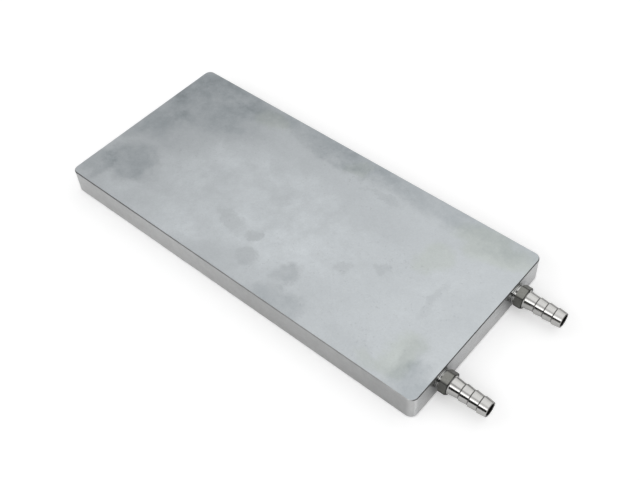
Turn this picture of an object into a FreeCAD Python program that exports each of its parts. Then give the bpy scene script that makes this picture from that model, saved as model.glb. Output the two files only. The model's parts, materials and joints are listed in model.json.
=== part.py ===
import FreeCAD, Part
import math
import os

# Liquid cooling cold plate: a flat aluminium block with a serpentine coolant channel milled
# into it from below, a cover brazed flush into the underside, and two hose fittings screwed
# into one end.
#
# Frame, in millimetres: the origin is the centre of the plate's underside, +X runs along the
# plate towards the fittings, and +Z is up through the cooling face.

# ---- driving dimensions ------------------------------------------------------------------

# Plate
PLATE_LENGTH = 240.0
PLATE_WIDTH = 110.0
PLATE_THICKNESS = 15.0
CORNER_RADIUS = 4.0
EDGE_CHAMFER = 0.4

# Cover, let into the underside and seated on a land round the channel
COVER_THICKNESS = 4.0
COVER_LAND = 5.2
COVER_CORNER_RADIUS = 5.0
BRAZE_GAP = 0.05

# Coolant channel: parallel grooves with fins between them, in passes joined by half rings
CHANNEL_DEPTH = 8.0
GROOVE_WIDTH = 4.0
GROOVES_PER_PASS = 3
FIN_THICKNESS = 1.8
PASS_PAIRS = 2
FAR_WALL = 11.0
PLENUM_LENGTH = 12.0
PLENUM_CORNER_RADIUS = 3.0

# Ports in the end face
PORT_SPACING = 64.0
PORT_THREAD_DEPTH = 11.0
PORT_PASSAGE_LENGTH = 8.0
PORT_PASSAGE_RADIUS = 3.0
PORT_COUNTERSINK = 0.5
DRILL_POINT_ANGLE = 118.0

# Pipe thread, drawn as its pitch cylinder, with a wrap of sealing tape in it
THREAD_PITCH_RADIUS = 4.75
THREAD_LENGTH = 10.7
THREAD_END_CHAMFER = 0.4
SEAL_THICKNESS = 0.15
SEAL_SETBACK = 1.0

# Hose fitting, from its hexagon outwards
HEX_LENGTH = 4.7
HEX_ACROSS_FLATS = 11.1
HEX_CHAMFER_ANGLE = 30.0
NECK_LENGTH = 5.9
NECK_RADIUS = 4.75
NECK_ROOT_CHAMFER = 0.35
BARB_COUNT = 3
BARB_PITCH = 5.1
BARB_RIDGE_RADIUS = 4.65
BARB_ROOT_RADIUS = 4.17
BARB_SHOULDER = 0.5
TIP_CHAMFER = 0.2
BORE_RADIUS = 3.3
BORE_CHAMFER = 0.2

# Each fitting: which side of the plate's centre line it is on, and where its hexagon stopped
# when it was tightened, as the distance from the end face and the angle in degrees, from +Y
# towards +Z, of a corner
FITTINGS = {
    "inlet": (-1, 1.2, 13.0),
    "outlet": (1, 1.6, 19.0),
}

# How far a cutting tool runs past the face it breaks through
OVERRUN = 1.0

# ---- derived dimensions ------------------------------------------------------------------

END_FACE_X = PLATE_LENGTH / 2
TAPPED_RADIUS = THREAD_PITCH_RADIUS + SEAL_THICKNESS
SEAT_Z = COVER_THICKNESS
PORT_Z = SEAT_Z + CHANNEL_DEPTH / 2

PASS_COUNT = 2 * PASS_PAIRS
PASS_PITCH = PORT_SPACING / (PASS_COUNT - 1)
GROOVE_PITCH = GROOVE_WIDTH + FIN_THICKNESS
PASS_WIDTH = GROOVES_PER_PASS * GROOVE_PITCH - FIN_THICKNESS
TURN_REACH = PASS_PITCH / 2 + PASS_WIDTH / 2

CHANNEL_FAR_X = -END_FACE_X + FAR_WALL
CHANNEL_NEAR_X = END_FACE_X - PORT_THREAD_DEPTH - PORT_PASSAGE_LENGTH
CHANNEL_HALF_WIDTH = PORT_SPACING / 2 + PASS_WIDTH / 2
FAR_TURN_X = CHANNEL_FAR_X + TURN_REACH
NEAR_TURN_X = CHANNEL_NEAR_X - TURN_REACH
PLENUM_X = CHANNEL_NEAR_X - PLENUM_LENGTH
PLENUM_MIDDLE_X = CHANNEL_NEAR_X - PLENUM_LENGTH / 2

HEX_CORNER_RADIUS = HEX_ACROSS_FLATS / math.sqrt(3)


# ---- helpers -----------------------------------------------------------------------------

def vec(x, y, z=0.0):
    return FreeCAD.Vector(x, y, z)


def line(start, end):
    return Part.LineSegment(start, end).toShape()


def arc(centre, radius, start_deg, end_deg):
    """An arc about centre in a level plane, from one angle to the other."""
    def at(degrees):
        angle = math.radians(degrees)
        return centre + vec(radius * math.cos(angle), radius * math.sin(angle))
    return Part.Arc(at(start_deg), at((start_deg + end_deg) / 2), at(end_deg)).toShape()


def rounded_block(x_low, x_high, y_middle, half_width, z_low, z_high, radius):
    """A block, long in X, whose four upright edges are rounded."""
    x_in = (x_low + radius, x_high - radius)
    y_out = (y_middle - half_width, y_middle + half_width)
    y_in = (y_out[0] + radius, y_out[1] - radius)
    edges = [
        line(vec(x_in[0], y_out[0], z_low), vec(x_in[1], y_out[0], z_low)),
        arc(vec(x_in[1], y_in[0], z_low), radius, 270, 360),
        line(vec(x_high, y_in[0], z_low), vec(x_high, y_in[1], z_low)),
        arc(vec(x_in[1], y_in[1], z_low), radius, 0, 90),
        line(vec(x_in[1], y_out[1], z_low), vec(x_in[0], y_out[1], z_low)),
        arc(vec(x_in[0], y_in[1], z_low), radius, 90, 180),
        line(vec(x_low, y_in[1], z_low), vec(x_low, y_in[0], z_low)),
        arc(vec(x_in[0], y_in[0], z_low), radius, 180, 270),
    ]
    return Part.Face(Part.Wire(edges)).extrude(vec(0, 0, z_high - z_low))


def turned(profile, y):
    """A solid turned about a port's axis from a closed outline of (x, radius) points."""
    points = [vec(x, y, PORT_Z + radius) for x, radius in profile]
    outline = Part.makePolygon(points + points[:1])
    return Part.Face(outline).revolve(vec(0, y, PORT_Z), vec(1, 0, 0), 360)


# ---- coolant channel ---------------------------------------------------------------------

def pass_y(index, shift):
    """Where a line runs in a pass, when it is shifted sideways from the pass's middle.

    The shift changes side from pass to pass, so a turn between two is half a circle about
    the wall that parts them.
    """
    side = 1 if index % 2 == 0 else -1
    return -PORT_SPACING / 2 + index * PASS_PITCH + side * shift


def serpentine(shift):
    """The edges of a line that runs from the inlet plenum to the outlet plenum."""
    edges = []
    for index in range(PASS_COUNT):
        y = pass_y(index, shift)
        outer = index in (0, PASS_COUNT - 1)
        near_x = PLENUM_MIDDLE_X if outer else NEAR_TURN_X
        edges.append(line(vec(FAR_TURN_X, y, SEAT_Z), vec(near_x, y, SEAT_Z)))
    for index in range(PASS_COUNT - 1):
        low = pass_y(index, shift)
        high = pass_y(index + 1, shift)
        at_far_end = index % 2 == 0
        turn_x = FAR_TURN_X if at_far_end else NEAR_TURN_X
        last_angle = -270 if at_far_end else 90
        centre = vec(turn_x, (low + high) / 2, SEAT_Z)
        edges.append(arc(centre, (high - low) / 2, -90, last_angle))
    return edges


def groove(shift):
    """One milled groove, from the cover's seat up to the channel's roof."""
    half = GROOVE_WIDTH / 2
    edges = serpentine(shift - half) + serpentine(shift + half)
    for index in (0, PASS_COUNT - 1):
        start = vec(PLENUM_MIDDLE_X, pass_y(index, shift - half), SEAT_Z)
        end = vec(PLENUM_MIDDLE_X, pass_y(index, shift + half), SEAT_Z)
        edges.append(line(start, end))
    outline = Part.Wire(Part.__sortEdges__(edges))
    return Part.Face(outline).extrude(vec(0, 0, CHANNEL_DEPTH))


def plenum(y):
    """The pocket where a port feeds all grooves of its pass, less the fins' round noses."""
    pocket = rounded_block(PLENUM_X - PLENUM_CORNER_RADIUS, CHANNEL_NEAR_X, y,
                           PASS_WIDTH / 2, SEAT_Z, SEAT_Z + CHANNEL_DEPTH,
                           PLENUM_CORNER_RADIUS)
    behind = Part.makeBox(2 * PLENUM_CORNER_RADIUS, PASS_WIDTH, CHANNEL_DEPTH,
                          vec(PLENUM_X - 2 * PLENUM_CORNER_RADIUS, y - PASS_WIDTH / 2, SEAT_Z))
    return pocket.cut(behind)


def fin_noses():
    """The half-round ends of the fins, where they stand in the two plenums."""
    noses = []
    for index in (0, PASS_COUNT - 1):
        for fin in range(GROOVES_PER_PASS - 1):
            shift = (fin - (GROOVES_PER_PASS - 2) / 2) * GROOVE_PITCH
            foot = vec(PLENUM_X, pass_y(index, shift), SEAT_Z)
            noses.append(Part.makeCylinder(FIN_THICKNESS / 2, CHANNEL_DEPTH, foot))
    return noses


def coolant_space():
    """Everything that is milled out above the cover."""
    grooves = []
    for index in range(GROOVES_PER_PASS):
        grooves.append(groove((index - (GROOVES_PER_PASS - 1) / 2) * GROOVE_PITCH))
    plenums = [plenum(side * PORT_SPACING / 2) for side in (-1, 1)]
    space = plenums[0].multiFuse(plenums[1:] + grooves)
    return space.cut(Part.makeCompound(fin_noses()))


# ---- the pieces --------------------------------------------------------------------------

def port(y):
    """The tapped hole and the passage from it into the plenum, as one turned cutter."""
    thread_end_x = END_FACE_X - PORT_THREAD_DEPTH
    point = (TAPPED_RADIUS - PORT_PASSAGE_RADIUS) / math.tan(math.radians(DRILL_POINT_ANGLE / 2))
    sink_x = END_FACE_X - PORT_COUNTERSINK
    outside_x = END_FACE_X + OVERRUN
    return turned([
        (CHANNEL_NEAR_X - OVERRUN, 0),
        (CHANNEL_NEAR_X - OVERRUN, PORT_PASSAGE_RADIUS),
        (thread_end_x - point, PORT_PASSAGE_RADIUS),
        (thread_end_x, TAPPED_RADIUS),
        (sink_x, TAPPED_RADIUS),
        (outside_x, TAPPED_RADIUS + outside_x - sink_x),
        (outside_x, 0),
    ], y)


def outline_edges(shape, z):
    """The edges of a shape that lie in the level plane at z."""
    flat = []
    for edge in shape.Edges:
        box = edge.BoundBox
        if abs(box.ZMin - z) < 1e-6 and abs(box.ZMax - z) < 1e-6:
            flat.append(edge)
    return flat


def cover_block(clearance, z_low):
    """The cover, or its recess: the channel's extent with a land all round."""
    margin = COVER_LAND - clearance
    return rounded_block(CHANNEL_FAR_X - margin, CHANNEL_NEAR_X + margin, 0,
                         CHANNEL_HALF_WIDTH + margin, z_low, SEAT_Z,
                         COVER_CORNER_RADIUS - clearance)


def make_channel_plate():
    plate = rounded_block(-END_FACE_X, END_FACE_X, 0, PLATE_WIDTH / 2,
                          0, PLATE_THICKNESS, CORNER_RADIUS)
    sharp = outline_edges(plate, 0) + outline_edges(plate, PLATE_THICKNESS)
    plate = plate.makeChamfer(EDGE_CHAMFER, sharp)
    cutters = [cover_block(0, -OVERRUN), coolant_space()]
    for side, _, _ in FITTINGS.values():
        cutters.append(port(side * PORT_SPACING / 2))
    return plate.cut(cutters)


def make_cover_plate():
    return cover_block(BRAZE_GAP, 0)


def hexagon(y, back_x, corner_angle):
    """The spanner hexagon, with the corners of both ends turned to a cone."""
    corners = []
    for index in range(7):
        angle = math.radians(corner_angle + 60 * index)
        corners.append(vec(back_x, y + HEX_CORNER_RADIUS * math.cos(angle),
                           PORT_Z + HEX_CORNER_RADIUS * math.sin(angle)))
    prism = Part.Face(Part.makePolygon(corners)).extrude(vec(HEX_LENGTH, 0))
    front_x = back_x + HEX_LENGTH
    face_radius = HEX_ACROSS_FLATS / 2
    slope = math.tan(math.radians(HEX_CHAMFER_ANGLE))
    cone = (HEX_CORNER_RADIUS + OVERRUN - face_radius) * slope
    envelope = turned([
        (back_x, 0),
        (back_x, face_radius),
        (back_x + cone, HEX_CORNER_RADIUS + OVERRUN),
        (front_x - cone, HEX_CORNER_RADIUS + OVERRUN),
        (front_x, face_radius),
        (front_x, 0),
    ], y)
    return prism.common(envelope)


def make_fitting(y, standoff, corner_angle):
    """One turned piece: threaded shank, hexagon, neck and hose barbs, bored right through."""
    hex_back_x = END_FACE_X + standoff
    hex_front_x = hex_back_x + HEX_LENGTH
    shank_end_x = hex_back_x - THREAD_LENGTH
    first_barb_x = hex_front_x + NECK_LENGTH
    tip_x = first_barb_x + BARB_COUNT * BARB_PITCH
    profile = [
        (shank_end_x, 0),
        (shank_end_x, THREAD_PITCH_RADIUS - THREAD_END_CHAMFER),
        (shank_end_x + THREAD_END_CHAMFER, THREAD_PITCH_RADIUS),
        (hex_back_x, THREAD_PITCH_RADIUS),
        (hex_front_x, NECK_RADIUS + NECK_ROOT_CHAMFER),
        (hex_front_x + NECK_ROOT_CHAMFER, NECK_RADIUS),
    ]
    for index in range(BARB_COUNT):
        shoulder_x = first_barb_x + index * BARB_PITCH
        profile.append((shoulder_x, BARB_ROOT_RADIUS))
        profile.append((shoulder_x + BARB_SHOULDER, BARB_RIDGE_RADIUS))
    profile += [
        (tip_x - TIP_CHAMFER, BARB_ROOT_RADIUS),
        (tip_x, BARB_ROOT_RADIUS - TIP_CHAMFER),
        (tip_x, 0),
    ]
    bore = turned([
        (shank_end_x, 0),
        (shank_end_x, BORE_RADIUS + BORE_CHAMFER),
        (shank_end_x + BORE_CHAMFER, BORE_RADIUS),
        (tip_x - BORE_CHAMFER, BORE_RADIUS),
        (tip_x, BORE_RADIUS + BORE_CHAMFER),
        (tip_x, 0),
    ], y)
    return turned(profile, y).fuse(hexagon(y, hex_back_x, corner_angle)).cut(bore)


def make_thread_seal(y, standoff):
    """The sealing tape between the fitting's thread and the port's."""
    inner_x = END_FACE_X + standoff - THREAD_LENGTH + THREAD_END_CHAMFER
    outer_x = END_FACE_X - SEAL_SETBACK
    return turned([
        (inner_x, THREAD_PITCH_RADIUS),
        (inner_x, TAPPED_RADIUS),
        (outer_x, TAPPED_RADIUS),
        (outer_x, THREAD_PITCH_RADIUS),
    ], y)


# ---- export ------------------------------------------------------------------------------

nodes = {
    "channel_plate": make_channel_plate(),
    "cover_plate": make_cover_plate(),
}
for name, (side, standoff, corner_angle) in FITTINGS.items():
    port_y = side * PORT_SPACING / 2
    nodes[name + "_fitting"] = make_fitting(port_y, standoff, corner_angle)
    nodes[name + "_thread_seal"] = make_thread_seal(port_y, standoff)

os.makedirs("parts", exist_ok=True)
for name, shape in nodes.items():
    shape.exportStep("parts/" + name + ".step")
    print(name, shape.ShapeType, shape.isValid(), len(shape.Solids), round(shape.Volume, 2))
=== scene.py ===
import json
import math

import bmesh
import bpy
from mathutils import Matrix, Vector

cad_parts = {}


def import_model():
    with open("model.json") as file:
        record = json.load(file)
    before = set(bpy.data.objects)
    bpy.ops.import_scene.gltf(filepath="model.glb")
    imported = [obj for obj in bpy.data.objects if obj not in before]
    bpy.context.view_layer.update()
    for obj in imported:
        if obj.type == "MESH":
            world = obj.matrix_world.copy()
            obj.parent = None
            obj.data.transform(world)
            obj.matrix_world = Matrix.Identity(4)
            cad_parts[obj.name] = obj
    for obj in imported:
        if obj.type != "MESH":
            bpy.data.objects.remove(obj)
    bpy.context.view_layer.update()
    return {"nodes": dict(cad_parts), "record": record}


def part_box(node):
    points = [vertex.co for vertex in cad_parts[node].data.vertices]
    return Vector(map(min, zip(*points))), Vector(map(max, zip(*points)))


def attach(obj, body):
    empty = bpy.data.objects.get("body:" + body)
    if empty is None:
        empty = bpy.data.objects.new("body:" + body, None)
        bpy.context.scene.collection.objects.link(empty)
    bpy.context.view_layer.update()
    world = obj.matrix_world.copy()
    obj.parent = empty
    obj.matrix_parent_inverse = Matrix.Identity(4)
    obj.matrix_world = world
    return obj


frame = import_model()

MM = 0.001

# ---- where things are, read from the imported frame, and the fitting's given lengths -------

PLATE_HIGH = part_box("channel_plate")[1]
END_X = PLATE_HIGH.x
TOP_Z = PLATE_HIGH.z
SIDES = ("inlet", "outlet")
BORES = {m["name"]: m for m in frame["record"]["mounts"] if m["kind"] == "bore"}
PORT_AXES = {side: Vector(BORES[side + "_bore"]["pos_m"]) for side in SIDES}
BORE_RADIUS = BORES["inlet_bore"]["dims"]["r_mm"] * MM
TIP_X = {side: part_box(side + "_fitting")[1].x for side in SIDES}

# The fitting: how far the hexagon's back is from the tip, and the lengths from there outwards
HEX_BACK_FROM_TIP = 25.9 * MM
HEX_LENGTH = 4.7 * MM
NECK_LENGTH = 5.9 * MM
BARB_PITCH = 5.1 * MM
BARB_COUNT = 3
SHANK_RADIUS = 4.75 * MM


# ---- node helpers ------------------------------------------------------------------------

class Graph:
    """Adds nodes to a shader tree and joins them; an input is a number, a tuple or a socket."""

    def __init__(self, tree):
        self.tree = tree
        tree.nodes.clear()

    def node(self, kind, inputs=None, **settings):
        made = self.tree.nodes.new(kind)
        for name, value in settings.items():
            setattr(made, name, value)
        for key, value in (inputs or {}).items():
            self.feed(made.inputs[key], value)
        return made

    def feed(self, socket, value):
        if isinstance(value, bpy.types.NodeSocket):
            self.tree.links.new(value, socket)
        elif value is not None:
            socket.default_value = value

    def math(self, operation, a, b=None, c=None):
        made = self.node("ShaderNodeMath", operation=operation)
        for index, value in enumerate((a, b, c)):
            self.feed(made.inputs[index], value)
        return made.outputs[0]

    def vector(self, operation, a, b=None, scale=None):
        made = self.node("ShaderNodeVectorMath", operation=operation)
        self.feed(made.inputs[0], a)
        self.feed(made.inputs[1], b)
        if scale is not None:
            self.feed(made.inputs["Scale"], scale)
        return made.outputs["Value" if operation in ("LENGTH", "DOT_PRODUCT") else "Vector"]

    def blend(self, factor, a, b):
        """A colour that goes from a to b."""
        made = self.node("ShaderNodeMix", data_type="RGBA")
        for key, value in (("Factor_Float", factor), ("A_Color", a), ("B_Color", b)):
            socket = next(s for s in made.inputs if s.identifier == key)
            self.feed(socket, value if isinstance(value, (int, float, bpy.types.NodeSocket))
                      else (*value, 1.0))
        return next(s for s in made.outputs if s.identifier == "Result_Color")

    def fade(self, factor, a, b):
        """A number that goes from a to b."""
        made = self.node("ShaderNodeMix", {0: factor, 2: a, 3: b}, data_type="FLOAT")
        return made.outputs[0]

    def scaled(self, colour, factor):
        """A colour made lighter or darker by a factor."""
        return self.vector("SCALE", colour, scale=factor)

    def ease(self, value, start, end, low=0.0, high=1.0):
        """low below start, high above end, and smooth in between; start may be the larger."""
        made = self.node("ShaderNodeMapRange", interpolation_type="SMOOTHSTEP")
        for key, number in (("Value", value), ("From Min", start), ("From Max", end),
                            ("To Min", low), ("To Max", high)):
            self.feed(made.inputs[key], number)
        return made.outputs["Result"]

    def between(self, value, low, high, soft):
        """1 from low to high, and 0 outside, with soft edges."""
        rise = self.ease(value, low - soft, low + soft)
        fall = self.ease(value, high + soft, high - soft)
        return self.math("MULTIPLY", rise, fall)

    def noise(self, place, size, detail=3.0, roughness=0.55, stretch=(1, 1, 1)):
        """Smooth noise, 0 to 1, with features about size across, stretched along the axes."""
        grid = self.vector("MULTIPLY", place, tuple(1.0 / (size * s) for s in stretch))
        made = self.node("ShaderNodeTexNoise", {"Vector": grid, "Scale": 1.0, "Detail": detail,
                                                "Roughness": roughness})
        return made.outputs["Fac"]

    def swing(self, place, size, amount, **more):
        """A factor about 1 that noise moves up and down by amount."""
        centred = self.math("SUBTRACT", self.noise(place, size, **more), 0.5)
        return self.math("MULTIPLY_ADD", centred, 2.0 * amount, 1.0)

    def product(self, *values):
        total = values[0]
        for value in values[1:]:
            total = self.math("MULTIPLY", total, value)
        return total


def material(name):
    made = bpy.data.materials.new(name)
    made.use_nodes = True
    return made, Graph(made.node_tree)


def finish_metal(graph, colour, roughness, height, depth):
    """Ends a tree in a metal surface, with its bumps as height and depth."""
    shader = graph.node("ShaderNodeBsdfPrincipled", {"Base Color": colour,
                                                     "Roughness": roughness, "Metallic": 1.0})
    bump = graph.node("ShaderNodeBump", {"Height": height, "Distance": depth, "Strength": 1.0})
    graph.feed(shader.inputs["Normal"], bump.outputs["Normal"])
    graph.node("ShaderNodeOutputMaterial", {"Surface": shader.outputs[0]})


# ---- aluminium ---------------------------------------------------------------------------

# Clouds on the cooling face, in millimetres in the frame: middle x, y, half sizes, and depth,
# which is below zero where the face is paler
STAINS = (
    (-22, -10, 75, 36, -0.13),
    (-62, -48, 36, 12, -0.10),
    (-98, -29, 17, 14, 0.23),
    (-112, -41, 11, 11, 0.14),
    (-96, 38, 36, 26, 0.19),
    (-70, 30, 20, 14, 0.07),
    (-112, 18, 16, 22, 0.10),
    (-117, -8, 8, 11, 0.08),
    (-117, 36, 8, 20, 0.07),
    (-15, 50, 50, 9, 0.10),
    (55, 54, 110, 14, 0.15),
    (-85, 50, 42, 12, 0.09),
    (-95, 2, 28, 17, 0.13),
    (-5, -25, 5, 3.5, 0.15),
    (-22, -26, 10, 5, 0.12),
    (0, -40, 8, 6, 0.13),
    (26, -34, 7, 7, 0.19),
    (32, -50, 16, 8, 0.14),
    (-12, -1, 6, 6, 0.08),
    (46, -16, 4, 5, 0.11),
    (61, -3, 5, 4, 0.09),
    (92, 0, 3, 14, 0.07),
    (105, -36, 6, 9, 0.09),
    (108, 0, 14, 18, 0.03),
    (30, 36, 12, 2, 0.08),
    (82, -50, 20, 8, 0.06),
    (113, -48, 12, 11, 0.18),
)
GREEN_PATCHES = (
    (-58, 45, 11, 8, 0.6),
    (8, 47, 7, 6, 0.5),
    (98, 44, 24, 10, 0.8),
    (78, 21, 8, 12, 0.7),
    (100, -38, 9, 14, 0.8),
    (88, -50, 10, 5, 0.5),
)


def patches(graph, place, spots):
    """The depth of all the spots that cover a place."""
    total = 0.0
    for x, y, half_x, half_y, depth in spots:
        offset = graph.vector("SUBTRACT", place, (x * MM, y * MM, 0.0))
        reach = graph.vector("MULTIPLY", offset, (1000 / half_x, 1000 / half_y, 0.0))
        cover = graph.ease(graph.vector("LENGTH", reach), 1.25, 0.6, 0.0, depth)
        total = graph.math("ADD", cover, total)
    return total


def cooling_face(graph, place, is_stained):
    """The colour of the flat faces: a cloudy, matt grey with stains and fine specks."""
    # Places are shaken by noise first, so no cloud keeps a plain oval outline
    cloudy_place = place
    for size, reach in ((22 * MM, 24 * MM), (5 * MM, 7 * MM)):
        shake = graph.node("ShaderNodeTexNoise", {"Vector": place, "Scale": 1 / size,
                                                  "Detail": 6.0, "Roughness": 0.65})
        shaken = graph.vector("SUBTRACT", shake.outputs["Color"], (0.5, 0.5, 0.5))
        cloudy_place = graph.vector("ADD", cloudy_place,
                                    graph.vector("SCALE", shaken, scale=reach))
    clouds = graph.product(
        graph.swing(cloudy_place, 55 * MM, 0.13, detail=8.0, roughness=0.7),
        graph.swing(cloudy_place, 12 * MM, 0.07, detail=6.0, roughness=0.7),
        graph.swing(place, 3 * MM, 0.035, detail=4.0, roughness=0.65),
        graph.swing(place, 0.9 * MM, 0.065, detail=3.0),
    )
    where_specks = graph.ease(graph.noise(place, 30 * MM, detail=3.0), 0.45, 0.62)
    specks = graph.ease(graph.noise(place, 1.6 * MM, detail=3.0), 0.60, 0.72, 0.0, 0.10)
    clouds = graph.math("MULTIPLY", clouds, graph.math(
        "SUBTRACT", 1.0, graph.math("MULTIPLY", specks, where_specks)))
    if not is_stained:
        return graph.scaled((0.655, 0.690, 0.712), clouds)
    wisps = graph.ease(graph.noise(place, 14 * MM, detail=7.0, roughness=0.75),
                       0.3, 0.7, 0.5, 1.4)
    stain = graph.math("MULTIPLY", patches(graph, cloudy_place, STAINS), wisps)
    tone = graph.math("MULTIPLY", clouds, graph.math("SUBTRACT", 1.0, stain))
    green = patches(graph, cloudy_place, GREEN_PATCHES)
    face = graph.blend(green, (0.655, 0.690, 0.712), (0.62, 0.663, 0.64))
    # The dull places are a little bluer
    tint = graph.blend(graph.ease(tone, 1.0, 0.6), (1.0, 1.0, 1.0), (1.0, 1.035, 1.055))
    return graph.scaled(graph.vector("MULTIPLY", face, tint), tone)


def drawn_sides(graph, place, endwise, crosswise, end_face):
    """The colour of the sides: streaks along the plate, and across it on the two ends."""
    parts = graph.node("ShaderNodeSeparateXYZ", {"Vector": place})
    streaks = graph.product(
        graph.swing(place, 1.0 * MM, 0.05, detail=2.0, stretch=(90, 90, 0.35)),
        graph.swing(place, 30 * MM, 0.07, detail=3.0, stretch=(1, 1, 0.4)),
        graph.swing(place, 6 * MM, 0.12, detail=5.0, roughness=0.65),
        graph.swing(place, 1.5 * MM, 0.05, detail=3.0),
    )
    # Darker towards the fittings, and a painted highlight on the rounded vertical edges
    along = graph.math("MULTIPLY", graph.ease(parts.outputs["X"], -30 * MM, 20 * MM, 1.08, 0.96),
                       graph.ease(parts.outputs["X"], 60 * MM, 100 * MM, 1.0, 0.93))
    tone = graph.fade(end_face, along, graph.ease(parts.outputs["Y"], -50 * MM, 50 * MM, 0.98, 1.06))
    # Painted highlight: the rounded vertical edges of the plate are painted brighter
    corner_highlight = graph.math("MULTIPLY", endwise, crosswise)
    tone = graph.math("MULTIPLY", tone, graph.math("MULTIPLY_ADD", corner_highlight, 0.62, 1.0))
    # Painted shade: the end face is painted darker in a ring round each port, beside the fitting
    for axis in PORT_AXES.values():
        offset = graph.vector("SUBTRACT", place, (END_X, axis.y, axis.z))
        away = graph.vector("LENGTH", offset)
        tone = graph.math("MULTIPLY", tone, graph.ease(away, 5.4 * MM, 10 * MM, 0.7, 1.0))
    side = graph.blend(end_face, (0.60, 0.605, 0.605), (0.71, 0.715, 0.72))
    return graph.scaled(side, graph.math("MULTIPLY", streaks, tone))


def aluminium(name, is_cover=False):
    made, graph = material(name)
    where = graph.node("ShaderNodeTexCoord")
    place = where.outputs["Object"]
    facing = graph.node("ShaderNodeSeparateXYZ", {"Vector": where.outputs["Normal"]})
    endwise, crosswise, level = (graph.math("ABSOLUTE", facing.outputs[axis]) for axis in "XYZ")
    flat = graph.ease(level, 0.9, 0.98)
    broken_edge = graph.between(level, 0.5, 0.85, 0.1)
    end_face = graph.ease(endwise, 0.8, 0.97)

    colour = graph.blend(flat, drawn_sides(graph, place, endwise, crosswise, end_face),
                         cooling_face(graph, place, not is_cover))
    # Painted reflection on the broken edge: painted dark along the two ends, and a painted highlight
    # on the sides near the fittings
    across = graph.node("ShaderNodeSeparateXYZ", {"Vector": place}).outputs["X"]
    side_edge_painted_light = graph.ease(across, 88 * MM, 112 * MM, 0.76, 1.15)
    edge_painted_light = graph.fade(graph.ease(endwise, 0.35, 0.6), side_edge_painted_light, 0.26)
    colour = graph.scaled(colour, graph.fade(broken_edge, 1.0, edge_painted_light))
    face_rough = graph.math("MULTIPLY", 0.42, graph.swing(place, 9 * MM, 0.12))
    side_rough = graph.math("MULTIPLY", graph.fade(end_face, 0.34, 0.26),
                            graph.swing(place, 2 * MM, 0.15, stretch=(20, 20, 0.5)))
    roughness = graph.fade(broken_edge, graph.fade(flat, side_rough, face_rough), 0.28)
    grain = graph.math("ADD", graph.noise(place, 0.5 * MM, detail=3.0),
                       graph.noise(place, 6 * MM, detail=3.0))
    finish_metal(graph, colour, roughness, grain, 0.00002)
    return made


# ---- steel -------------------------------------------------------------------------------

def steel(name, side):
    """One fitting's metal: a dull hexagon between a bright thread and polished barbs."""
    made, graph = material(name)
    where = graph.node("ShaderNodeTexCoord")
    axis = PORT_AXES[side]
    local = graph.vector("SUBTRACT", where.outputs["Object"],
                         (TIP_X[side] - HEX_BACK_FROM_TIP, axis.y, axis.z))
    out = graph.node("ShaderNodeSeparateXYZ", {"Vector": local}).outputs["X"]
    radial = graph.vector("LENGTH", graph.vector("MULTIPLY", local, (0, 1, 1)))
    facing = graph.node("ShaderNodeSeparateXYZ", {"Vector": where.outputs["Normal"]})
    soft = 0.02 * MM
    hexagon = graph.between(out, -soft, HEX_LENGTH + soft, soft)
    thread = graph.ease(out, 0.0, -soft)
    outward_dull_and_shaded = graph.ease(facing.outputs["X"], 0.80, 0.95)
    # Painted shade: the hexagon's edges between its flats and its front rim, and the foot of each
    # barb, are painted darker
    hex_edge_painted_shade = graph.math("MULTIPLY", hexagon, graph.math(
        "MAXIMUM", graph.ease(radial, 6.0 * MM, 6.3 * MM, 0.0, 0.6),
        graph.ease(out, HEX_LENGTH - 0.5 * MM, HEX_LENGTH - 0.2 * MM, 0.0, 0.6)))
    past = graph.math("SUBTRACT", out, HEX_LENGTH + NECK_LENGTH - 0.25 * MM)
    barb_foot_painted_shade = graph.product(
        graph.ease(graph.math("MODULO", past, BARB_PITCH), 0.8 * MM, 0.6 * MM, 0.0, 0.5),
        graph.ease(past, -0.05 * MM, 0.0),
        graph.ease(past, BARB_COUNT * BARB_PITCH, BARB_COUNT * BARB_PITCH - 0.1 * MM),
    )
    painted_shade_factor = graph.math("SUBTRACT", 1.0, graph.math("MAXIMUM", hex_edge_painted_shade, barb_foot_painted_shade))
    bore_dull_and_shaded = graph.ease(radial, BORE_RADIUS + 0.15 * MM, BORE_RADIUS + 0.05 * MM)

    rings = graph.swing(local, 0.12 * MM, 0.05, detail=2.0, stretch=(1, 400, 400))
    smudge = graph.swing(local, 2.5 * MM, 0.07, detail=4.0)
    # The fine marks: turning rings and smudges, together with the painted shade at the hexagon's
    # edges and rim and at the barbs' feet
    fine = graph.product(rings, smudge, painted_shade_factor)
    speckle = graph.swing(local, 0.45 * MM, 0.5, detail=4.0, roughness=0.7)
    colour = graph.scaled((0.62, 0.615, 0.60), fine)
    # Painted light and shade: flats that face up are painted brighter, and flats that face down
    # darker, than the rest
    painted_top_light = graph.ease(facing.outputs["Z"], 0.35, 0.9, 0.80, 1.16)
    colour = graph.blend(hexagon, colour, graph.scaled(
        (0.245, 0.245, 0.228), graph.product(speckle, smudge, painted_shade_factor, painted_top_light)))
    colour = graph.blend(thread, colour, graph.scaled((0.58, 0.58, 0.565), fine))
    # Painted shade: faces that look out along the fitting, towards its tip, are painted nearly black;
    # they are also rougher
    colour = graph.blend(outward_dull_and_shaded, colour, graph.scaled((0.07, 0.069, 0.066), fine))
    # Painted shade: the bore is painted nearly black; it is also rougher
    colour = graph.blend(bore_dull_and_shaded, colour, (0.03, 0.029, 0.028))

    dull = graph.math("MAXIMUM", hexagon, bore_dull_and_shaded)
    rough = graph.fade(outward_dull_and_shaded, graph.fade(dull, 0.12, 0.48), 0.42)
    roughness = graph.math("MULTIPLY", rough, graph.swing(local, 0.8 * MM, 0.2, detail=3.0))
    height = graph.math("ADD", graph.noise(local, 0.15 * MM, detail=1.0, stretch=(1, 400, 400)),
                        graph.math("MULTIPLY", graph.noise(local, 0.4 * MM), hexagon))
    finish_metal(graph, colour, roughness, height, 0.000004)
    return made


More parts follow.
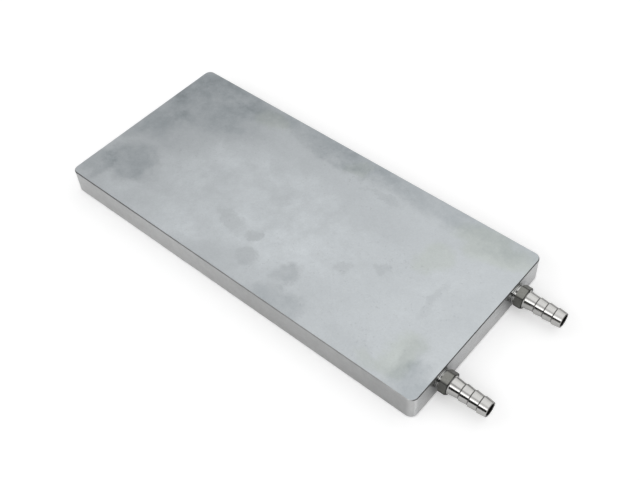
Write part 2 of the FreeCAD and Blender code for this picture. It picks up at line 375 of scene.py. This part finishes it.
def tape(name):
    """White thread sealing tape, stretched into the thread, so wrinkled round it."""
    made, graph = material(name)
    place = graph.node("ShaderNodeTexCoord").outputs["Object"]
    wrinkles = graph.noise(place, 0.5 * MM, detail=4.0, stretch=(0.4, 3, 3))
    colour = graph.scaled((0.86, 0.86, 0.84), graph.swing(place, 1.5 * MM, 0.06))
    roughness = graph.math("MULTIPLY", 0.5, graph.swing(place, 1.0 * MM, 0.2))
    shader = graph.node("ShaderNodeBsdfPrincipled", {"Base Color": colour,
                                                     "Roughness": roughness})
    bump = graph.node("ShaderNodeBump", {"Height": wrinkles, "Distance": 0.00005})
    graph.feed(shader.inputs["Normal"], bump.outputs["Normal"])
    graph.node("ShaderNodeOutputMaterial", {"Surface": shader.outputs[0]})
    return made


# ---- the exposed thread ------------------------------------------------------------------

THREAD_PITCH = 0.94 * MM
THREAD_CREST = 5.1 * MM
THREAD_MOUTH = 4.84 * MM
THREAD_HALF_WIDTH = 0.45 * THREAD_PITCH
CREST_HALF_WIDTH = 0.28 * THREAD_PITCH
# Where the ridge starts and stops, from the end face, and the angle from +Y it starts at
THREAD_START = -0.65 * MM
THREAD_STOP = 1.12 * MM
THREAD_START_ANGLE = math.radians(155)
# The ridge rises out of the port over the run-in, and sinks away over the run-out, in turns
THREAD_RUN_IN = 0.7 * MM
THREAD_RUN_OUT = 0.3
STEPS_PER_TURN = 64


def exposed_thread(name, axis, metal):
    """The turns of thread that show between the end face and the hexagon, as one ridge."""
    mesh = bmesh.new()
    length = THREAD_STOP - THREAD_START
    turns = length / THREAD_PITCH
    count = int(turns * STEPS_PER_TURN)
    root = SHANK_RADIUS - 0.05 * MM
    rings = []
    for step in range(count + 1):
        share = step / count
        along = END_X + THREAD_START + share * length
        angle = THREAD_START_ANGLE + 2 * math.pi * turns * share
        # The mouth of the port is narrower than the crest, and the last turn runs out
        rise = min(1.0, share * length / THREAD_RUN_IN)
        fade = min(1.0, (1 - share) * turns / THREAD_RUN_OUT)
        crest = THREAD_MOUTH + (THREAD_CREST - THREAD_MOUTH) * rise
        crest = SHANK_RADIUS + (crest - SHANK_RADIUS) * fade
        shoulder = crest - 0.15 * (crest - root)
        ring = []
        for x, r in ((THREAD_HALF_WIDTH, root), (1.2 * CREST_HALF_WIDTH, shoulder),
                     (0.9 * CREST_HALF_WIDTH, crest)):
            ring.append((-x, r))
            ring.insert(0, (x, r))
        ring = [mesh.verts.new((along + x, axis.y + r * math.cos(angle),
                                axis.z + r * math.sin(angle))) for x, r in ring]
        rings.append(ring)
    for before, after in zip(rings, rings[1:]):
        for k in range(len(before)):
            k_next = (k + 1) % len(before)
            mesh.faces.new((before[k], before[k_next], after[k_next], after[k]))
    mesh.faces.new(rings[0])
    mesh.faces.new(rings[-1][::-1])
    bmesh.ops.recalc_face_normals(mesh, faces=mesh.faces)
    data = bpy.data.meshes.new(name)
    mesh.to_mesh(data)
    mesh.free()
    data.shade_smooth()
    piece = bpy.data.objects.new(name, data)
    bpy.context.scene.collection.objects.link(piece)
    data.materials.append(metal)
    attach(piece, "root")


# ---- dress the frame ---------------------------------------------------------------------

def dress(node, made):
    target = frame["nodes"][node]
    target.data.materials.clear()
    target.data.materials.append(made)


dress("channel_plate", aluminium("clouded_aluminium"))
dress("cover_plate", aluminium("cover_aluminium", is_cover=True))
white_tape = tape("white_tape")
for side in SIDES:
    metal = steel(side + "_steel", side)
    dress(side + "_fitting", metal)
    dress(side + "_thread_seal", white_tape)
    exposed_thread(side + "_exposed_thread", PORT_AXES[side], metal)


# ---- studio ------------------------------------------------------------------------------

FLOOR_DROP = 0.0002
FLOOR_SIZE = 8.0
TENT_RADIUS = 3.0
FLAG_RADIUS = 0.40
# Each flag: the angles in degrees from +X that it goes between, and its height
FLAGS = {"front_flag": (-180, -30, 0.205), "back_flag": (30, 150, 0.05)}


def seen_rays(graph):
    """1 for the rays that show the background: to the camera, or off metal or through glass."""
    path = graph.node("ShaderNodeLightPath")
    seen = graph.math("MAXIMUM", path.outputs["Is Camera Ray"], path.outputs["Is Glossy Ray"])
    return graph.math("MAXIMUM", seen, path.outputs["Is Transmission Ray"])


def floor():
    made, graph = material("pale_floor")
    place = graph.node("ShaderNodeTexCoord").outputs["Object"]
    away = graph.ease(graph.vector("LENGTH", place), 0.35, 0.9)
    path = graph.node("ShaderNodeLightPath")
    lit = graph.node("ShaderNodeBsdfDiffuse", {"Color": (0.8, 0.8, 0.8, 1)})
    glow = graph.node("ShaderNodeEmission", {"Color": (1, 1, 1, 1), "Strength": graph.math(
        "MULTIPLY", path.outputs["Is Camera Ray"], 0.34)})
    both = graph.node("ShaderNodeAddShader", {0: lit.outputs[0], 1: glow.outputs[0]})
    white = graph.node("ShaderNodeEmission", {"Color": (1, 1, 1, 1), "Strength": 1.0})
    far = graph.math("MULTIPLY", away, seen_rays(graph))
    mixed = graph.node("ShaderNodeMixShader", {0: far, 1: both.outputs[0],
                                               2: white.outputs[0]})
    graph.node("ShaderNodeOutputMaterial", {"Surface": mixed.outputs[0]})
    mesh = bpy.data.meshes.new("floor")
    half = FLOOR_SIZE / 2
    mesh.from_pydata([(x, y, -FLOOR_DROP) for x, y in ((-half, -half), (half, -half),
                                                       (half, half), (-half, half))],
                     [], [(0, 1, 2, 3)])
    mesh.materials.append(made)
    piece = bpy.data.objects.new("floor", mesh)
    bpy.context.scene.collection.objects.link(piece)


def tent():
    """A light tent round the table: white above, dim low down, a bright panel in front, and
    three patches that the polished metal shows: one dim, one nearly black and one brighter."""
    made, graph = material("tent_cloth")
    place = graph.node("ShaderNodeTexCoord").outputs["Object"]
    way = graph.vector("NORMALIZE", place)
    parts = graph.node("ShaderNodeSeparateXYZ", {"Vector": way})
    rise = parts.outputs["Z"]

    def elevation(degrees):
        return math.sin(math.radians(degrees))

    def toward(azimuth, height):
        a, e = math.radians(azimuth), math.radians(height)
        return (math.cos(e) * math.cos(a), math.cos(e) * math.sin(a), math.sin(e))

    def spot(azimuth, height, inner, outer):
        """1 within inner degrees of a direction, 0 beyond outer degrees."""
        near = graph.vector("DOT_PRODUCT", way, toward(azimuth, height))
        return graph.ease(near, math.cos(math.radians(outer)), math.cos(math.radians(inner)))

    cloth = graph.ease(rise, elevation(8), elevation(60), 0.34, 1.05)
    shade = graph.math("SUBTRACT", 1.0, graph.math("MULTIPLY", spot(155, 32, 12, 44), 0.40))
    behind_camera = graph.math("SUBTRACT", 1.0, graph.math("MULTIPLY", spot(-120, 63.5, 4, 20), 0.95))
    cloth = graph.product(cloth, shade, behind_camera)
    window = graph.math("MULTIPLY", spot(105, 22, 8, 24), 0.24)
    front = graph.vector("NORMALIZE", graph.vector("MULTIPLY", way, (1, 1, 0)))
    across = graph.vector("DOT_PRODUCT", front, toward(-98, 0))
    panel = graph.product(graph.ease(rise, elevation(26), elevation(28.5)),
                          graph.ease(rise, elevation(50), elevation(44)),
                          graph.ease(across, math.cos(math.radians(75)), math.cos(math.radians(50))))
    light = graph.math("ADD", graph.math("ADD", cloth, window), graph.math("MULTIPLY", panel, 1.1))
    glow = graph.node("ShaderNodeEmission", {"Color": (1.0, 1.0, 1.0, 1), "Strength": light})
    graph.node("ShaderNodeOutputMaterial", {"Surface": glow.outputs[0]})

    mesh = bmesh.new()
    bmesh.ops.create_uvsphere(mesh, u_segments=48, v_segments=24, radius=TENT_RADIUS)
    data = bpy.data.meshes.new("light_tent")
    mesh.to_mesh(data)
    mesh.free()
    data.materials.append(made)
    piece = bpy.data.objects.new("light_tent", data)
    bpy.context.scene.collection.objects.link(piece)
    piece.visible_camera = False


def black_flag(name, start, end, height):
    """A low curved card beside the part, which its polished metal shows as a dark line."""
    made, graph = material("charcoal_card")
    place = graph.node("ShaderNodeTexCoord").outputs["Object"]
    tone = graph.scaled((0.03, 0.03, 0.03), graph.swing(place, 0.05, 0.1))
    card = graph.node("ShaderNodeBsdfDiffuse", {"Color": tone})
    graph.node("ShaderNodeOutputMaterial", {"Surface": card.outputs[0]})
    mesh = bmesh.new()
    columns = []
    for degrees in range(start, end + 1, 3):
        x = FLAG_RADIUS * math.cos(math.radians(degrees))
        y = FLAG_RADIUS * math.sin(math.radians(degrees))
        columns.append([mesh.verts.new((x, y, z)) for z in (0.0, height)])
    for (low, high), (next_low, next_high) in zip(columns, columns[1:]):
        mesh.faces.new((low, next_low, next_high, high))
    data = bpy.data.meshes.new(name)
    mesh.to_mesh(data)
    mesh.free()
    data.materials.append(made)
    piece = bpy.data.objects.new(name, data)
    bpy.context.scene.collection.objects.link(piece)
    piece.visible_camera = False
    piece.visible_diffuse = False
    piece.visible_shadow = False


def world():
    made = bpy.data.worlds.new("white_room")
    bpy.context.scene.world = made
    made.use_nodes = True
    graph = Graph(made.node_tree)
    light = graph.node("ShaderNodeBackground", {"Color": (1, 1, 1, 1), "Strength": 1.0})
    graph.node("ShaderNodeOutputWorld", {"Surface": light.outputs[0]})


# Where the camera stands and looks, and how it leans, as solved from the plate's edges
CAMERA_PLACE = Vector((0.23753, -0.23314, 0.38322))
CAMERA_AIM = Vector((0.03243, -0.00103, TOP_Z))
ROLL_DEGREES = -2.33


def camera():
    data = bpy.data.cameras.new("camera")
    data.lens = 51.85
    data.sensor_width = 36.0
    data.shift_x = -0.0323
    data.shift_y = 0.0009
    data.clip_start = 0.01
    piece = bpy.data.objects.new("camera", data)
    bpy.context.scene.collection.objects.link(piece)
    turn = (CAMERA_AIM - CAMERA_PLACE).to_track_quat("-Z", "Y").to_matrix()
    roll = Matrix.Rotation(math.radians(ROLL_DEGREES), 3, "Z")
    piece.matrix_world = Matrix.Translation(CAMERA_PLACE) @ (turn @ roll).to_4x4()
    bpy.context.scene.camera = piece


floor()
tent()
for flag_name, (start, end, height) in FLAGS.items():
    black_flag(flag_name, start, end, height)
world()
camera()
bpy.context.scene.view_settings.view_transform = "Standard"
